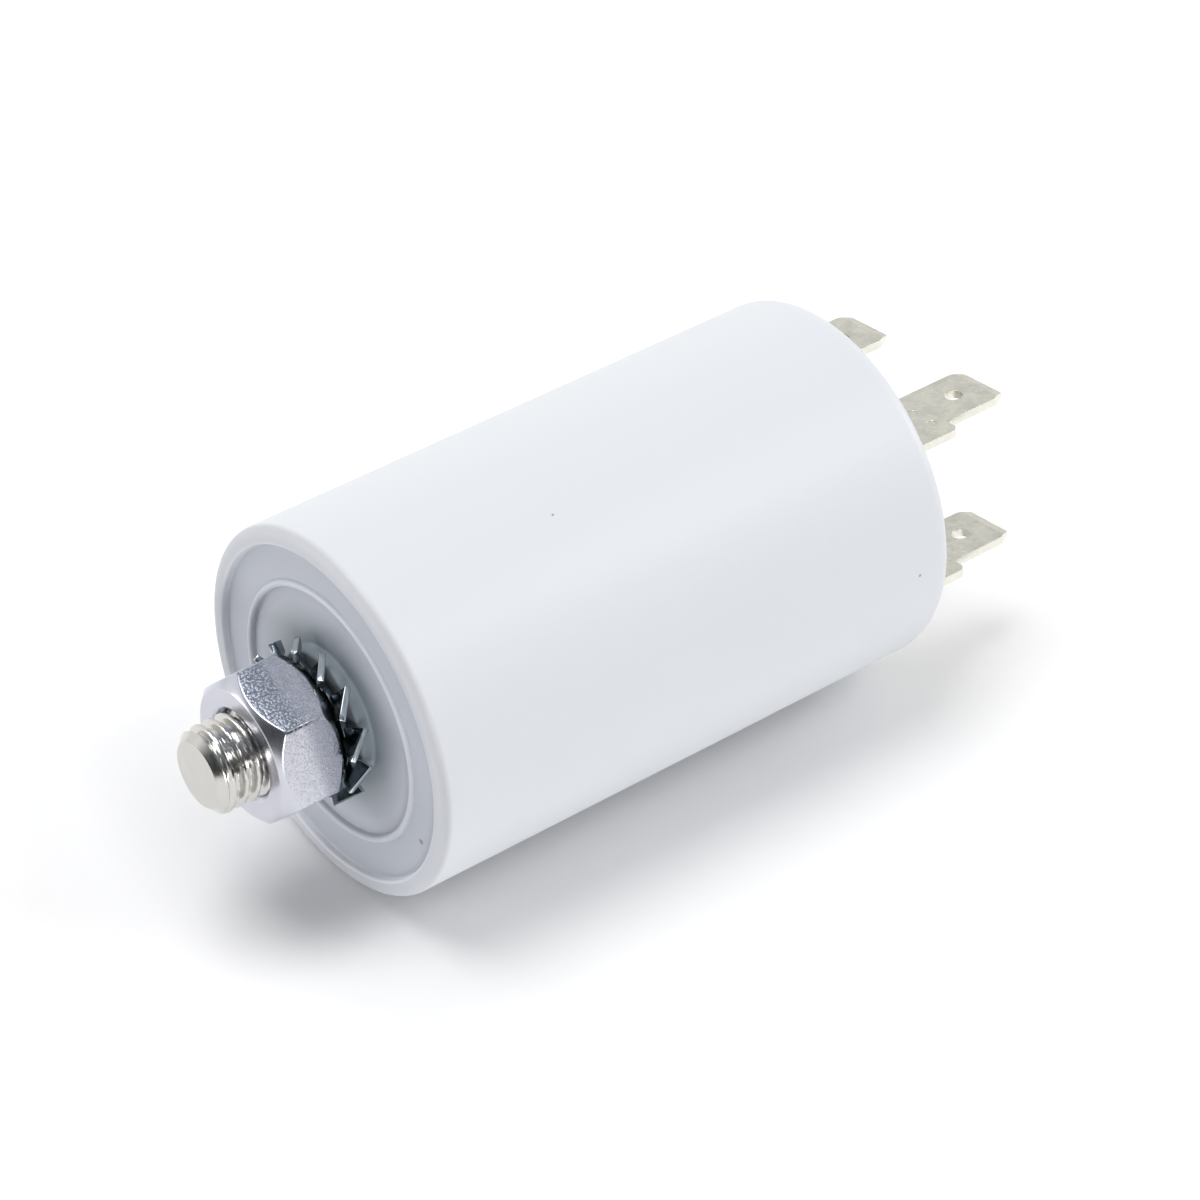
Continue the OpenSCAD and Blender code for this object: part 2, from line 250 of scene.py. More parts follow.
def case_plastic():
    """Polypropylene from a polished mould: satin, cool white, with a very faint orange-peel
    skin. Its closed end is thin over the resin, so the recessed floor there looks blue-grey
    between the thick rim and ring. Painted shade greys the seat, the plastic round the nut
    and washer, and the rim's flat and outer rounding. Three tiny dark specks are moulded in."""
    material, tree, shader = new_material("case_polypropylene")
    skin = add(tree, "ShaderNodeBump", {"Height": grain(tree, 1.2), "Distance": 0.006 * MM})
    place = add(tree, "ShaderNodeTexCoord")["Object"]
    parts = add(tree, SEPARATE, (place,))
    height = add(tree, MATH, (parts["Z"], AXIS_Z), operation="SUBTRACT")[0]
    off_axis = add(tree, COMBINE, {"Y": parts["Y"], "Z": height})[0]
    radius = add(tree, VECTOR_MATH, (off_axis,), operation="LENGTH")["Value"]

    # the floor of the recess, blue-grey where the wall is thin over the resin, and the disc by the
    # seat, given the same tint as painted shade of the washer and nut; inside the rim of the
    # closed end
    deep = add(tree, RANGE, (parts["X"], RIM_X - 0.1 * MM, RIM_X + 0.6 * MM, 0.0, 1.0))[0]
    seat_painted_shade = add(tree, RANGE, (radius, 8.5 * MM, 9.0 * MM, 1.0, 0.0))[0]
    low = add(tree, MATH, (deep, seat_painted_shade), operation="MAXIMUM")[0]
    in_rim = add(tree, RANGE, (radius, CAN_R - 1.9 * MM, CAN_R - 1.6 * MM, 1.0, 0.0))[0]
    at_end = add(tree, RANGE, (parts["X"], RIM_X + 3 * MM, RIM_X + 4 * MM, 1.0, 0.0))[0]
    inside = add(tree, MATH, (in_rim, at_end), operation="MULTIPLY")[0]
    shade = add(tree, MATH, (low, inside), operation="MULTIPLY")[0]
    colour = add(tree, MIX, {FACTOR: shade, FIRST: CASE_WHITE, SECOND: FLOOR_SHADE},
                 data_type="RGBA")[MIXED]

    # painted shadow of the nut and the washer on the plastic round them
    washer_painted_shadow = add(tree, RANGE, (radius, 6.5 * MM, 10.5 * MM, 0.9, 0.0))[0]
    shade = add(tree, MATH, (washer_painted_shadow, inside), operation="MULTIPLY")[0]
    colour = add(tree, MIX, {FACTOR: shade, FIRST: colour, SECOND: PAINTED_WASHER_SHADOW},
                 data_type="RGBA")[MIXED]

    # painted shade greying the rim's flat and the rounding outside it: mm in from the side, mm
    # behind the rim, tint
    for start, full, front, back, tint in ((1.6, 1.4, 0.2, 0.5, "#D4D7DD"),
                                           (0.75, 0.45, 0.35, 0.9, "#D3D5DB")):
        outer = add(tree, RANGE, (radius, CAN_R - start * MM, CAN_R - full * MM, 0.0, 1.0))[0]
        at_front = add(tree, RANGE, (
            parts["X"], RIM_X + front * MM, RIM_X + back * MM, 1.0, 0.0))[0]
        share = add(tree, MATH, (outer, at_front), operation="MULTIPLY")[0]
        colour = add(tree, MIX, {FACTOR: share, FIRST: colour, SECOND: linear(tint)},
                     data_type="RGBA")[MIXED]

    # the specks: place, and radius in mm
    specks = [(on_axis(0.7 * MM, 14.3 * MM, math.radians(205)), 0.36),
              (on_axis(20 * MM, CAN_R, math.radians(112)), 0.16),
              (on_axis(53 * MM, CAN_R, math.radians(178)), 0.20)]
    for spot, size in specks:
        far = add(tree, VECTOR_MATH, (place, tuple(spot)), operation="DISTANCE")["Value"]
        dark = add(tree, RANGE, (far, size * MM * 0.4, size * MM, 0.65, 0.0))[0]
        colour = add(tree, MIX, {FACTOR: dark, FIRST: colour, SECOND: SPECK},
                     data_type="RGBA")[MIXED]
    feed(tree, shader, {
        "Base Color": colour, "Roughness": 0.42, "IOR": 1.49, "Normal": skin["Normal"]})
    return material


def metal(name, tint, roughness, grain_mm, depth_mm, rough_spread,
          bare=0.3, level=ALL_SLOPES, edge_highlight=None, cloudy=0.06):
    """A metal surface: tint is its face-on colour, which cloudy dulls here and there. The
    grain gives it its sparkle, and the share of it under bare stays level. level gives the
    slopes towards the can's axis between which the grain dies away; the edge tint, if given,
    paints a highlight on the edges that were cut across the strip."""
    material, tree, shader = new_material(name)
    noise = grain(tree, grain_mm, GRAIN_DETAIL)
    normal = add(tree, "ShaderNodeNewGeometry")["True Normal"]
    slope = add(tree, SEPARATE, (normal,))
    steep = add(tree, MATH, (slope["X"],), operation="ABSOLUTE")[0]
    share = add(tree, RANGE, (steep, *level, 1.0, 0.0))[0]
    wander = add(tree, RANGE, (noise, NOISE_LOW, NOISE_HIGH, -rough_spread, rough_spread))[0]
    spread = add(tree, MATH, (wander, share), operation="MULTIPLY")[0]
    rough = add(tree, MATH, (spread, roughness), operation="ADD")[0]
    raised = add(tree, RANGE, (noise, bare, GRAIN_TOP, 0.0, 1.0))[0]
    grained = add(tree, "ShaderNodeBump", {
        "Height": raised, "Distance": depth_mm * MM, "Strength": share})["Normal"]
    cloud = add(tree, RANGE, (grain(tree, CLOUD_MM), NOISE_LOW, NOISE_HIGH, 0.0, cloudy))[0]
    tone = add(tree, MIX, {FACTOR: cloud, FIRST: linear(tint), SECOND: DULL},
               data_type="RGBA")[MIXED]
    if edge_highlight:
        # painted highlight: the cut edges take the paler edge tint
        sideways = add(tree, MATH, (slope["Y"],), operation="ABSOLUTE")[0]
        cut = add(tree, RANGE, (sideways, *HIGHLIT_EDGE_SLOPES, 0.0, 1.0))[0]
        tone = add(tree, MIX, {FACTOR: cut, FIRST: tone, SECOND: linear(edge_highlight)},
                   data_type="RGBA")[MIXED]
    feed(tree, shader, {
        "Base Color": tone, "Metallic": 1.0, "Roughness": rough, "Normal": grained})
    return material


def fine_grained(name, colour, dark, roughness, grain_mm, metallic=0.0, stretch=(1, 1, 1)):
    """A surface whose colour and gloss wander a little between two tones."""
    material, tree, shader = new_material(name)
    noise = grain(tree, grain_mm, GRAIN_DETAIL, stretch)
    share = add(tree, RANGE, (noise, NOISE_LOW, NOISE_HIGH, 0.0, 1.0))[0]
    tone = add(tree, MIX, {FACTOR: share, FIRST: linear(dark), SECOND: linear(colour)},
               data_type="RGBA")[MIXED]
    rough = add(tree, RANGE, (
        noise, NOISE_LOW, NOISE_HIGH, roughness + GLOSS_SPREAD, roughness - GLOSS_SPREAD))[0]
    feed(tree, shader, {"Base Color": tone, "Metallic": metallic, "Roughness": rough})
    return material


CASE = case_plastic()
# Bright zinc plate with a blue passivate on a cold-formed nut: silvery blue, sparse white sparkle
ZINC = metal("blue_passivated_zinc", "#D2D3DC", 0.24, 0.2, 0.009, 0.08,
             bare=0.5, level=(0.2, 0.5))
# The same plate on punched spring steel: sheet faces darkened as painted shade, with a painted
# highlight on the sheared edges
SHADED_SPRING_ZINC = metal("zinc_spring_steel_painted_shade", "#5C676B", 0.2, 0.5, 0.004, 0.06)
HIGHLIT_EDGE_ZINC = metal("zinc_edge_painted_highlight", "#D9DFE2", 0.2, 0.5, 0.004, 0.06)
# Nickel plate on a rolled thread: warm silver, smooth flanks
NICKEL = metal("nickel_plated_steel", "#D6D4CF", 0.2, 0.6, 0.004, 0.06)
# Matt tin plate on brass strip: warm grey, soft, with faint rolling grain, and a painted highlight
# on the cut edges
TIN = metal("matt_tin_plate", "#E3E0D2", 0.34, 0.4, 0.004, 0.08,
            edge_highlight="#F4F2E6", cloudy=0.2)
# Metallised film, wound tight: silver grey with faint bands round the roll
FILM = fine_grained("metallised_film", "#CDD2D6", "#B9BFC4", 0.3, 0.8, 0.6, (1, 0.05, 0.05))
# Clear outer film over it: the same grey seen through a glossy skin, in wider bands
WRAP = fine_grained("clear_film_wrap", "#DADEDE", "#C8CDCE", 0.22, 3.0, 0.2, (1, 0.05, 0.05))
# Moulded core and spacer: off-white, slightly cloudy
CORE = fine_grained("natural_polypropylene", "#DEDDD7", "#D2D0C8", 0.5, 2.0)
# Arc-sprayed zinc on the roll's ends: dull grey, coarse and matt
SPRAY = fine_grained("sprayed_zinc", "#9A9CA0", "#75777B", 0.75, 0.35, 0.7)
# Tinned copper wire: warm silver with drawing marks
LEAD = fine_grained("tinned_copper", "#CFCABE", "#B8B1A2", 0.3, 0.5, 1.0)
# Wire insulation: plain blue, a little uneven in gloss
SLEEVE = fine_grained("lead_insulation", "#2F4F9F", "#27438C", 0.45, 1.0)
# Cast polyurethane: amber, faintly cloudy
RESIN = fine_grained("cast_polyurethane", "#C6AA6C", "#B79A5C", 0.3, 4.0)
# Solder: bright, with soft dimples
SOLDER = fine_grained("solder", "#BBBDC1", "#A4A6AA", 0.25, 0.4, 1.0)
INNER = {
    "film_winding": FILM, "winding_wrap": WRAP, "core_tube": CORE, "winding_spacer": CORE,
    "metal_spray_lower": SPRAY, "metal_spray_upper": SPRAY, "short_lead": LEAD, "long_lead": LEAD,
    "short_lead_sleeve": SLEEVE, "long_lead_sleeve": SLEEVE, "potting_resin": RESIN,
    "solder_tag_front": TIN, "solder_tag_rear": TIN, "solder_front": SOLDER, "solder_rear": SOLDER,
    "solder_upper": SOLDER, "solder_lower": SOLDER,
}

# ---------------------------------------------------------------- can


def can_outline():
    """The can's section as (distance from the rim, radius) points."""
    wall, ledge = 2.1 * MM, 0.45 * MM
    bore = CAN_R - wall
    lid_seat = along(LID_LOW[0])
    seat_r, seat_bevel, seat_fillet = 6.2 * MM, 0.3 * MM, 0.3 * MM
    recess, dip, rim_r = 0.7 * MM, 0.15 * MM, CAN_R - 1.7 * MM
    ring_r, ring_w, ring_h, ring_fillet = 12.05 * MM, 0.65 * MM, 0.4 * MM, 0.1 * MM
    rim_fillet, rim_edge = 0.2 * MM, 0.25 * MM
    edge_r, shoulder_r, mouth_bevel = 0.9 * MM, 1.5 * MM, 0.1 * MM
    floor, boss_r, boss = 3.4 * MM, 9.5 * MM, along(STUD_HIGH[0])
    half = ring_w / 2
    return [
        (-SEAT_PROUD, STUD_R),
        *arc(-SEAT_PROUD + seat_bevel, seat_r - seat_bevel, seat_bevel, 180, 90, 4),
        *arc(recess + dip - seat_fillet, seat_r + seat_fillet, seat_fillet, -90, 0, 4),
        (recess + dip, ring_r - half - 0.05 * MM),
        *arc(recess - ring_h + half, ring_r, half, 270, 90, 12),
        *arc(recess - ring_fillet, ring_r + half + ring_fillet, ring_fillet, 270, 360, 3),
        *arc(recess - rim_fillet, rim_r - rim_fillet, rim_fillet, 0, 90, 4),
        *arc(rim_edge, rim_r + rim_edge, rim_edge, 270, 180, 4),
        *arc(edge_r, CAN_R - edge_r, edge_r, 180, 90, 10),
        *arc(CAN_LENGTH - shoulder_r, CAN_R - shoulder_r, shoulder_r, 90, 0, 14),
        (CAN_LENGTH, bore + ledge + mouth_bevel),
        (CAN_LENGTH - mouth_bevel, bore + ledge),
        (lid_seat, bore + ledge), (lid_seat, bore), (floor, bore),
        (floor, boss_r), (boss, boss_r), (boss, STUD_R),
    ]


def make_can():
    outline, steps = can_outline(), 256
    verts = [on_axis(x, r, TURN * s / steps) for s in range(steps) for x, r in outline]
    can = new_piece("moulded_can", verts, turned_faces(len(outline), steps), CASE, 50)
    put_in_place(can, "can")


# ---------------------------------------------------------------- geometry trees


def new_geometry_tree(name, inputs):
    """A geometry tree with these named numbers as inputs, and those inputs to link from."""
    tree = bpy.data.node_groups.new(name, "GeometryNodeTree")
    for label, value in inputs.items():
        kind = "NodeSocketInt" if isinstance(value, int) else "NodeSocketFloat"
        socket = tree.interface.new_socket(label, in_out="INPUT", socket_type=kind)
        socket.default_value = value
    tree.interface.new_socket("Geometry", in_out="OUTPUT", socket_type="NodeSocketGeometry")
    return tree, add(tree, "NodeGroupInput")


def run_geometry_tree(name, tree, material, smooth):
    """Runs a geometry tree, and returns its plain mesh object."""
    piece = bpy.data.objects.new(name, bpy.data.meshes.new(name))
    bpy.context.collection.objects.link(piece)
    piece.modifiers.new(name, "NODES").node_group = tree
    apply_modifiers(piece)
    clean_mesh(piece.data)
    return finish_mesh(piece, material, smooth)


# ---------------------------------------------------------------- threaded stud


def thread_tree(material):
    """A rolled thread on a rod along +X: a grid wrapped round the axis, whose radius follows
    the thread's helix, with a chamfer and a flat disc at its first end."""
    tree, g = new_geometry_tree("rolled_thread", {
        "Radius": STUD_R, "Pitch": 1.25 * MM, "Depth": 0.68 * MM, "Length": THREAD_LENGTH,
        "Chamfer": 0.9 * MM, "Height": AXIS_Z, "Start": float(STUD_LOW[0]),
        "Around": 144, "Rows": 240})
    columns = add(tree, MATH, (g["Around"], 1.0), operation="ADD")[0]
    grid = add(tree, "GeometryNodeMeshGrid", {
        "Size X": 1.0, "Size Y": 1.0, "Vertices X": columns, "Vertices Y": g["Rows"]})
    place = add(tree, SEPARATE, (add(tree, "GeometryNodeInputPosition")[0],))

    # each point's turn round the axis, from 0 to 1, and its run along the rod
    turn = add(tree, MATH, (place["X"], 0.5), operation="ADD")[0]
    run_share = add(tree, MATH, (place["Y"], 0.5), operation="ADD")[0]
    run = add(tree, MATH, (run_share, g["Length"]), operation="MULTIPLY")[0]

    # how deep the thread is cut there: crest flat an eighth of the pitch, root flat a quarter
    pitches = add(tree, MATH, (run, g["Pitch"]), operation="DIVIDE")[0]
    turns = add(tree, MATH, (pitches, turn), operation="ADD")[0]
    phase = add(tree, MATH, (turns,), operation="FRACT")[0]
    off_middle = add(tree, MATH, (phase, 0.5), operation="SUBTRACT")[0]
    half_share = add(tree, MATH, (off_middle,), operation="ABSOLUTE")[0]
    from_crest = add(tree, MATH, (half_share, 2.0), operation="MULTIPLY")[0]
    cut = add(tree, RANGE, (from_crest, 0.125, 0.75, 0.0, g["Depth"]),
              interpolation_type="SMOOTHSTEP")[0]

    # the thread grows in over the chamfer
    grow_start = add(tree, MATH, (g["Chamfer"], 0.4), operation="MULTIPLY")[0]
    grow_end = add(tree, MATH, (g["Chamfer"], 1.4), operation="MULTIPLY")[0]
    grown = add(tree, RANGE, (run, grow_start, grow_end, 0.0, 1.0))[0]
    depth = add(tree, MATH, (cut, grown), operation="MULTIPLY")[0]
    threaded = add(tree, MATH, (g["Radius"], depth), operation="SUBTRACT")[0]
    tip_r = add(tree, MATH, (g["Radius"], g["Chamfer"]), operation="SUBTRACT")[0]
    cone = add(tree, MATH, (tip_r, run), operation="ADD")[0]
    radius = add(tree, MATH, (threaded, cone), operation="MINIMUM")[0]

    angle = add(tree, MATH, (turn, TURN), operation="MULTIPLY")[0]
    cosine = add(tree, MATH, (angle,), operation="COSINE")[0]
    sine = add(tree, MATH, (angle,), operation="SINE")[0]
    x = add(tree, MATH, (run, g["Start"]), operation="ADD")[0]
    y = add(tree, MATH, (radius, cosine), operation="MULTIPLY")[0]
    rise = add(tree, MATH, (radius, sine), operation="MULTIPLY")[0]
    z = add(tree, MATH, (rise, g["Height"]), operation="ADD")[0]
    rod = add(tree, "GeometryNodeSetPosition", {
        "Geometry": grid["Mesh"], "Position": add(tree, COMBINE, (x, y, z))[0]})[0]

    disc = add(tree, "GeometryNodeMeshCircle", {"Vertices": g["Around"], "Radius": tip_r},
               fill_type="NGON")["Mesh"]
    tip = add(tree, "GeometryNodeTransform", {
        "Geometry": disc, "Rotation": (TURN / 4, 0.0, TURN / 4),
        "Translation": add(tree, COMBINE, {"X": g["Start"], "Z": g["Height"]})[0]})[0]
    joined = add(tree, "GeometryNodeJoinGeometry", ([tip, rod],))[0]
    merged = add(tree, "GeometryNodeMergeByDistance", {
        "Geometry": joined, "Distance": 0.001 * MM})[0]
    coated = add(tree, "GeometryNodeSetMaterial", {"Geometry": merged, "Material": material})[0]
    add(tree, "NodeGroupOutput", (coated,))
    return tree


def make_stud():
    stud = run_geometry_tree("threaded_stud", thread_tree(NICKEL), NICKEL, 38)
    put_in_place(stud, "mounting_stud")


# ---------------------------------------------------------------- nut


def nut_radius(angle):
    """Distance from the axis to the nut's side at that angle, with slightly rounded corners."""
    sharpness = 70
    reach = 0.0
    for side in range(6):
        towards = math.cos(angle - NUT_TURN - TURN * (side + 0.5) / 6)
        if towards > 0:
            reach += (towards / (FLATS / 2)) ** sharpness
    return reach ** (-1 / sharpness)


def nut_section(side):
    """Half the nut's section where its side is that far from the axis, as (depth, radius)
    points: countersink, face, chamfer with rounded edges, side."""
    bore_r, sink_r, sink_depth, edge = 4.03 * MM, 4.45 * MM, 0.5 * MM, 0.12 * MM
    drop = side - NUT_FACE_R
    cone = min(edge, drop / 3)
    return [
        (sink_depth, bore_r), (0.06 * MM, sink_r - 0.06 * MM), (0.0, sink_r + 0.05 * MM),
        (0.0, NUT_FACE_R - edge), (0.012 * MM, NUT_FACE_R - edge * 0.3),
        (cone * 0.6, NUT_FACE_R + cone * 0.5),
        (drop - cone, side - cone), (drop - cone * 0.25, side - cone * 0.4),
        (drop + cone * 0.35, side - cone * 0.1), (drop + cone, side)]


def make_nut():
    front, back = along(NUT_LOW[0]), along(NUT_HIGH[0])
    steps = 720
    verts = []
    for s in range(steps):
        angle = TURN * s / steps
        half = nut_section(nut_radius(angle))
        row = [(front + x, r) for x, r in half] + [(back - x, r) for x, r in reversed(half)]
        verts += [on_axis(x, r, angle) for x, r in row]
    nut = new_piece("plated_nut", verts, turned_faces(len(row), steps), ZINC, 28)
    put_in_place(nut, "hex_nut")


# ---------------------------------------------------------------- toothed lock washer


def washer_tree(sheet, edge_highlight):
    """A flat ring with teeth round it. Each tooth is a small block that widens and twists
    about its own length from the ring outwards. Its sheared edges take a painted highlight
    and its sheet a painted shade."""
    tree, g = new_geometry_tree("toothed_washer", {
        "Teeth": 12, "Inner": 4.2 * MM, "Ring": 5.7 * MM, "Outer": 7.5 * MM, "Sheet": 0.6 * MM,
        "Start Width": 1.9 * MM, "Tip Width": 3.1 * MM, "Twist": math.radians(38),
        "Place": float((WASHER_LOW[0] + WASHER_HIGH[0]) / 2), "Height": AXIS_Z})
    start = add(tree, MATH, (g["Ring"], 0.6 * MM), operation="SUBTRACT")[0]
    length = add(tree, MATH, (g["Outer"], start), operation="SUBTRACT")[0]
    block = add(tree, "GeometryNodeMeshCube", {
        "Size": add(tree, COMBINE, (length, 1.0, g["Sheet"]))[0],
        "Vertices X": 13, "Vertices Y": 5, "Vertices Z": 3})["Mesh"]
    place = add(tree, SEPARATE, (add(tree, "GeometryNodeInputPosition")[0],))

    # each point's share of the way out along the tooth, and the width and the twist there
    off_middle = add(tree, MATH, (place["X"], length), operation="DIVIDE")[0]
    out = add(tree, MATH, (off_middle, 0.5), operation="ADD")[0]
    width = add(tree, RANGE, (out, 0.0, 1.0, g["Start Width"], g["Tip Width"]))[0]
    full_twist = add(tree, MATH, (g["Twist"], -1.0), operation="MULTIPLY")[0]
    twist = add(tree, RANGE, (out, 0.12, 0.6, 0.0, full_twist),
                interpolation_type="SMOOTHSTEP")[0]
    cosine = add(tree, MATH, (twist,), operation="COSINE")[0]
    sine = add(tree, MATH, (twist,), operation="SINE")[0]
    across = add(tree, MATH, (place["Y"], width), operation="MULTIPLY")[0]
    across_cos = add(tree, MATH, (across, cosine), operation="MULTIPLY")[0]
    across_sin = add(tree, MATH, (across, sine), operation="MULTIPLY")[0]
    rise_cos = add(tree, MATH, (place["Z"], cosine), operation="MULTIPLY")[0]
    rise_sin = add(tree, MATH, (place["Z"], sine), operation="MULTIPLY")[0]
    run = add(tree, MATH, (out, length), operation="MULTIPLY")[0]
    x = add(tree, MATH, (run, start), operation="ADD")[0]
    y = add(tree, MATH, (across_cos, rise_sin), operation="SUBTRACT")[0]
    z = add(tree, MATH, (across_sin, rise_cos), operation="ADD")[0]

    # the sheared edges, the faces that don't lie along the sheet, take the painted highlight
    facing = add(tree, SEPARATE, (add(tree, "GeometryNodeInputNormal")[0],))
    flatness = add(tree, MATH, (facing["Z"],), operation="ABSOLUTE")[0]
    on_edge = add(tree, "FunctionNodeCompare", {"A": flatness, "B": 0.5},
                  operation="LESS_THAN")[0]
    edged = add(tree, "GeometryNodeSetMaterial", {
        "Geometry": block, "Selection": on_edge, "Material": edge_highlight})[0]
    tooth = add(tree, "GeometryNodeSetPosition", {
        "Geometry": edged, "Position": add(tree, COMBINE, (x, y, z))[0]})[0]

    # a tooth at each point of a circle of no size, turned to its place
    spots = add(tree, "GeometryNodeMeshCircle", {"Vertices": g["Teeth"], "Radius": 0.0})["Mesh"]
    index = add(tree, "GeometryNodeInputIndex")[0]
    number = add(tree, MATH, (index, 0.5), operation="ADD")[0]
    turned = add(tree, MATH, (number, TURN), operation="MULTIPLY")[0]
    angle = add(tree, MATH, (turned, g["Teeth"]), operation="DIVIDE")[0]
    teeth = add(tree, "GeometryNodeInstanceOnPoints", {
        "Points": spots, "Instance": tooth,
        "Rotation": add(tree, COMBINE, {"Z": angle})[0]})[0]

    both_radii = add(tree, MATH, (g["Inner"], g["Ring"]), operation="ADD")[0]
    middle = add(tree, MATH, (both_radii, 2.0), operation="DIVIDE")[0]
    ring_width = add(tree, MATH, (g["Ring"], g["Inner"]), operation="SUBTRACT")[0]
    path = add(tree, "GeometryNodeCurvePrimitiveCircle", {"Resolution": 120, "Radius": middle})
    section = add(tree, "GeometryNodeCurvePrimitiveQuadrilateral", {
        "Width": ring_width, "Height": g["Sheet"]})
    ring = add(tree, "GeometryNodeCurveToMesh", {
        "Curve": path[0], "Profile Curve": section[0]})[0]

    joined = add(tree, "GeometryNodeJoinGeometry", ([teeth, ring],))[0]
    set_down = add(tree, "GeometryNodeTransform", {
        "Geometry": joined, "Rotation": (TURN / 4, 0.0, TURN / 4),
        "Translation": add(tree, COMBINE, {"X": g["Place"], "Z": g["Height"]})[0]})[0]
    real = add(tree, "GeometryNodeRealizeInstances", {"Geometry": set_down})[0]
    # the rest, the sheet, takes the dark tint of painted shade
    is_edge = add(tree, "GeometryNodeMaterialSelection", {"Material": edge_highlight})[0]
    is_sheet = add(tree, "FunctionNodeBooleanMath", (is_edge,), operation="NOT")[0]
    plated = add(tree, "GeometryNodeSetMaterial", {
        "Geometry": real, "Selection": is_sheet, "Material": sheet})[0]
    add(tree, "NodeGroupOutput", (plated,))
    return tree


def make_washer():
    tree = washer_tree(SHADED_SPRING_ZINC, HIGHLIT_EDGE_ZINC)
    washer = run_geometry_tree("toothed_lock_washer", tree, None, 40)
    bevel(washer, 0.06 * MM, 40)
    finish_mesh(washer, None, 40)
    put_in_place(washer, "lock_washer")


# ---------------------------------------------------------------- lid, terminals and insides


def shallow_marks(bm):
    """Lifts the bottoms of the coined marks in the tabs' outer faces, to a faint print."""
    outwards = Matrix.Rotation(LID_TURN, 3, "X") @ Vector((0, 0, 1))
    for vert in bm.verts:
        off = (vert.co - Vector((0, 0, AXIS_Z))).dot(outwards)
        if abs(abs(off) - MARK_FLOOR) < 0.02 * MM:
            vert.co += outwards * math.copysign(MARK_LIFT, off)


def dress_terminal_end():
    dressed_copy("lid", CASE, 0.15 * MM)
    for side in ("front", "rear"):
        dressed_copy("terminal_" + side, TIN, 0.09 * MM, shallow_marks)
        dressed_copy("rivet_" + side, TIN, 0.08 * MM)


def dress_insides():
    for node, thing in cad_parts.items():
        if node in INNER:
            for slot in thing.material_slots:
                slot.material = INNER[node]


# ---------------------------------------------------------------- floor, light and camera

FLOOR_SIDE = 3.0                            # m, from the middle of the floor to its edge
FLOOR_LIFT = 0.2                            # glow of the floor round the object, left out close to it as painted shade
MIRRORED_LIFT = FLOOR_LIFT * 0.8            # the same, as the metal mirrors it
CEILING = 0.26
CEILING_TINT = (0.78, 0.93, 1.15, 1)
WHITE = (1, 1, 1, 1)
LAMP_DISTANCE = 0.8                         # m
LAMPS = [
    # name, direction from the object, size in m, power in W
    ("overhead_softbox", (-0.2, 0.15, 0.97), 0.5, 3.15),
    ("front_softbox", (0.5, -0.5, 0.72), 0.3, 0.9),
    ("left_fill", (-0.8, 0.58, 0.15), 0.25, 0.65),
    ("low_front_fill", (-0.5, -0.86, 0.12), 0.3, 1.85),
    ("right_fill", (0.93, -0.3, 0.3), 0.3, 1.4),
]


def make_floor():
    """A pale floor that reads as white paper, and still takes the object's shadow. Its glow starts
    a little way off, a painted shade that keeps the shadow deep, and grows to white far away."""
    side = FLOOR_SIDE
    corners = [(-side, -side, 0), (side, -side, 0), (side, side, 0), (-side, side, 0)]
    mesh = bpy.data.meshes.new("floor")
    mesh.from_pydata(corners, [], [(0, 1, 2, 3)])
    floor = bpy.data.objects.new("floor", mesh)
    bpy.context.collection.objects.link(floor)
    material, tree, shader = new_material("white_paper_floor")
    feed(tree, shader, {
        "Base Color": linear("#F6F6F7"), "Roughness": 0.9, "Specular IOR Level": 0.1})
    path = add(tree, "ShaderNodeLightPath")
    place = add(tree, SEPARATE, (add(tree, "ShaderNodeTexCoord")["Object"],))

    # distance from the object's shadow, counted double ahead of the stud end; close in, the glow
    # is left out as painted shade
    before = add(tree, MATH, (RIM_X, place["X"]), operation="SUBTRACT")[0]
    before = add(tree, MATH, (before, 2.0), operation="MULTIPLY")[0]
    beyond = add(tree, MATH, (place["X"], 10 * MM), operation="SUBTRACT")[0]
    past_end = add(tree, MATH, (before, beyond), operation="MAXIMUM")[0]
    past_end = add(tree, MATH, (past_end, 0.0), operation="MAXIMUM")[0]
    offset = add(tree, COMBINE, {"X": past_end, "Y": place["Y"]})[0]
    away = add(tree, VECTOR_MATH, (offset,), operation="LENGTH")["Value"]

    glow_past_painted_shade = add(tree, RANGE, (away, 12 * MM, 34 * MM, 0.0, FLOOR_LIFT))[0]
    far_glow = add(tree, RANGE, (away, 150 * MM, 800 * MM, 0.0, 1.0))[0]
    glow = add(tree, MATH, (glow_past_painted_shade, far_glow), operation="ADD")[0]
    seen = add(tree, MATH, (path["Is Camera Ray"], glow), operation="MULTIPLY")[0]
    mirrored = add(tree, MATH, (path["Is Glossy Ray"], MIRRORED_LIFT), operation="MULTIPLY")[0]
    lift = add(tree, MATH, (seen, mirrored), operation="MAXIMUM")[0]
    lit = add(tree, "ShaderNodeEmission", {"Color": WHITE, "Strength": lift})[0]
    both = add(tree, "ShaderNodeAddShader", (shader.outputs[0], lit))[0]
    feed(tree, tree.nodes["Material Output"], {"Surface": both})
    mesh.materials.append(material)


def area_light(name, direction, size, power):
    """A round softbox that looks at the middle of the object from that direction."""
    data = bpy.data.lights.new(name, "AREA")
    data.shape = "DISK"
    data.size = size
    data.energy = power
    lamp = bpy.data.objects.new(name, data)
    away = Vector(direction).normalized()
    lamp.location = Vector((0, 0, AXIS_Z)) + away * LAMP_DISTANCE
    lamp.rotation_euler = (-away).to_track_quat("-Z", "Y").to_euler()
    lamp.visible_camera = False
    bpy.context.collection.objects.link(lamp)


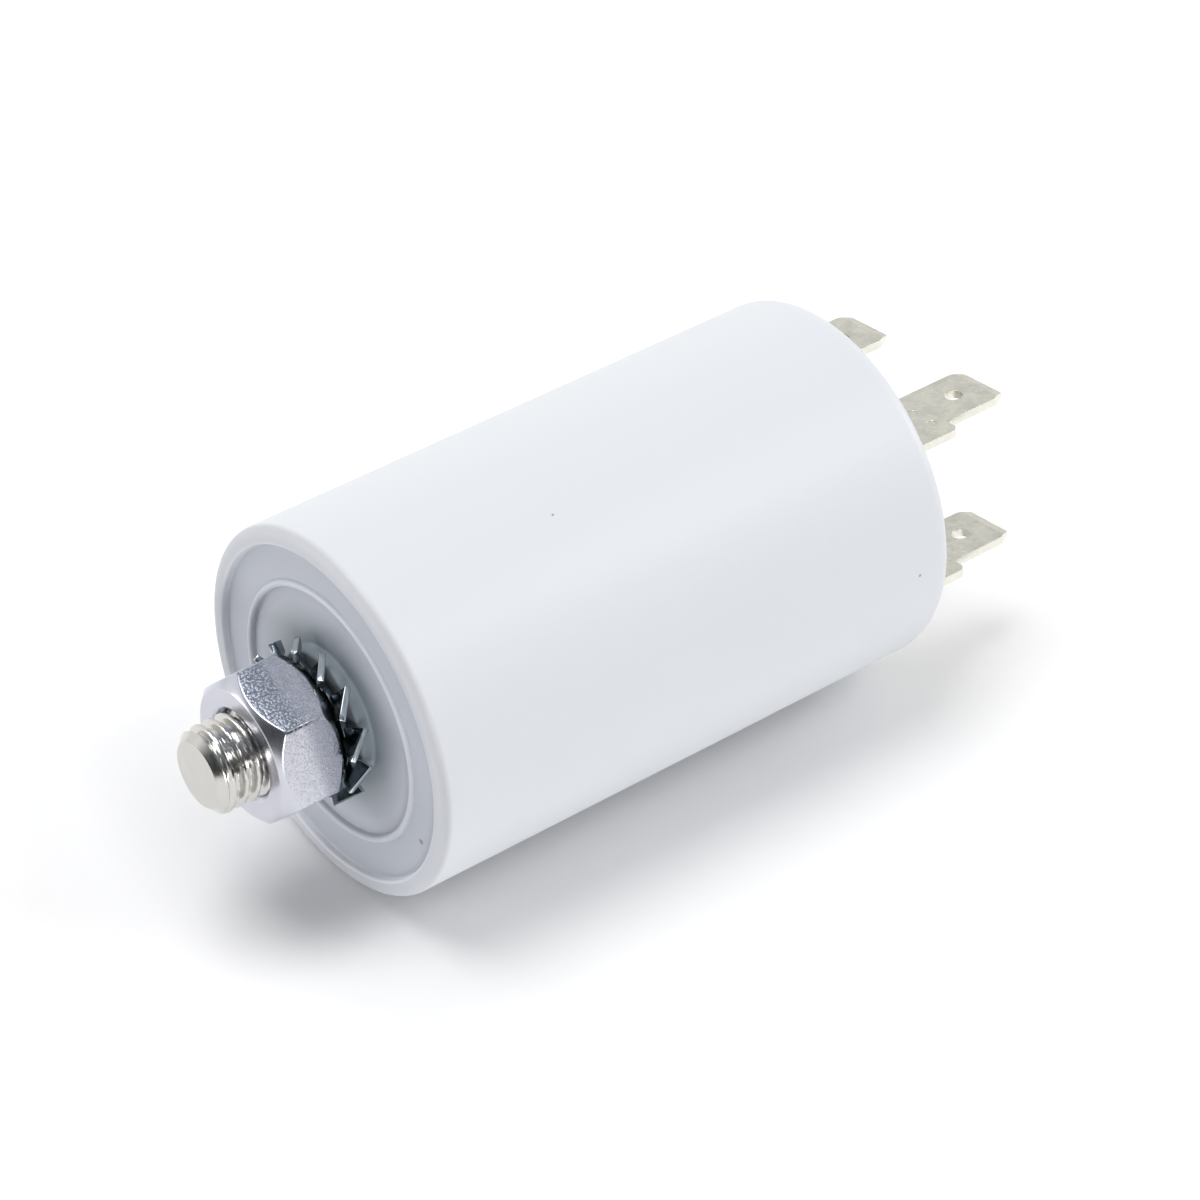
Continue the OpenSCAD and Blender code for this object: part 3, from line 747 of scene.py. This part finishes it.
def make_light():
    """Two softboxes and three low fills, a white backdrop behind and to the right, and a dark
    room in front. Above the backdrop's top edge the ceiling is grey, and bluish in the
    metal's reflections."""
    for name, direction, size, power in LAMPS:
        area_light(name, direction, size, power)
    world = bpy.data.worlds.new("studio")
    world.use_nodes = True
    tree = world.node_tree
    away = add(tree, "ShaderNodeTexCoord")["Generated"]
    backdrop = add(tree, VECTOR_MATH, (away, (0.35, 0.94, 0.0)), operation="DOT_PRODUCT")["Value"]
    low = add(tree, RANGE, (backdrop, -0.25, 0.35, 0.05, 0.9))[0]
    height = add(tree, SEPARATE, (away,))["Z"]
    high = add(tree, RANGE, (height, 0.45, 0.8, 0.0, 1.0))[0]
    not_high = add(tree, MATH, (1.0, high), operation="SUBTRACT")[0]
    room = add(tree, MATH, (low, not_high), operation="MULTIPLY")[0]
    ceiling = add(tree, MATH, (high, CEILING), operation="MULTIPLY")[0]
    strength = add(tree, MATH, (room, ceiling), operation="ADD")[0]
    path = add(tree, "ShaderNodeLightPath")
    strength = add(tree, MATH, (strength, path["Is Camera Ray"]), operation="MAXIMUM")[0]
    mirrored = add(tree, MATH, (high, path["Is Glossy Ray"]), operation="MULTIPLY")[0]
    colour = add(tree, MIX, {FACTOR: mirrored, FIRST: WHITE, SECOND: CEILING_TINT},
                 data_type="RGBA")[MIXED]
    feed(tree, tree.nodes["Background"], {"Strength": strength, "Color": colour})
    bpy.context.scene.world = world


def make_camera():
    """Looks at the stud end from the front left and above, with a long lens."""
    azimuth, elevation, distance = math.radians(-38), math.radians(38), 0.3891
    right_of_rim, above_rim = 23.83 * MM, 9.9 * MM
    right = Vector((math.cos(azimuth), math.sin(azimuth), 0))
    back = Vector((math.sin(azimuth) * math.cos(elevation),
                   -math.cos(azimuth) * math.cos(elevation), math.sin(elevation)))
    up = back.cross(right)
    aim = Vector((RIM_X, 0, AXIS_Z)) + right * right_of_rim + up * above_rim
    data = bpy.data.cameras.new("camera")
    data.lens = 135
    data.sensor_width = 36
    data.clip_start = 0.01
    camera = bpy.data.objects.new("camera", data)
    turned = Matrix((right, up, back)).transposed().to_4x4()
    camera.matrix_world = Matrix.Translation(aim + back * distance) @ turned
    bpy.context.collection.objects.link(camera)
    bpy.context.scene.camera = camera


make_can()
make_stud()
make_nut()
make_washer()
dress_terminal_end()
dress_insides()
make_floor()
make_light()
make_camera()
bpy.context.scene.view_settings.view_transform = "Standard"
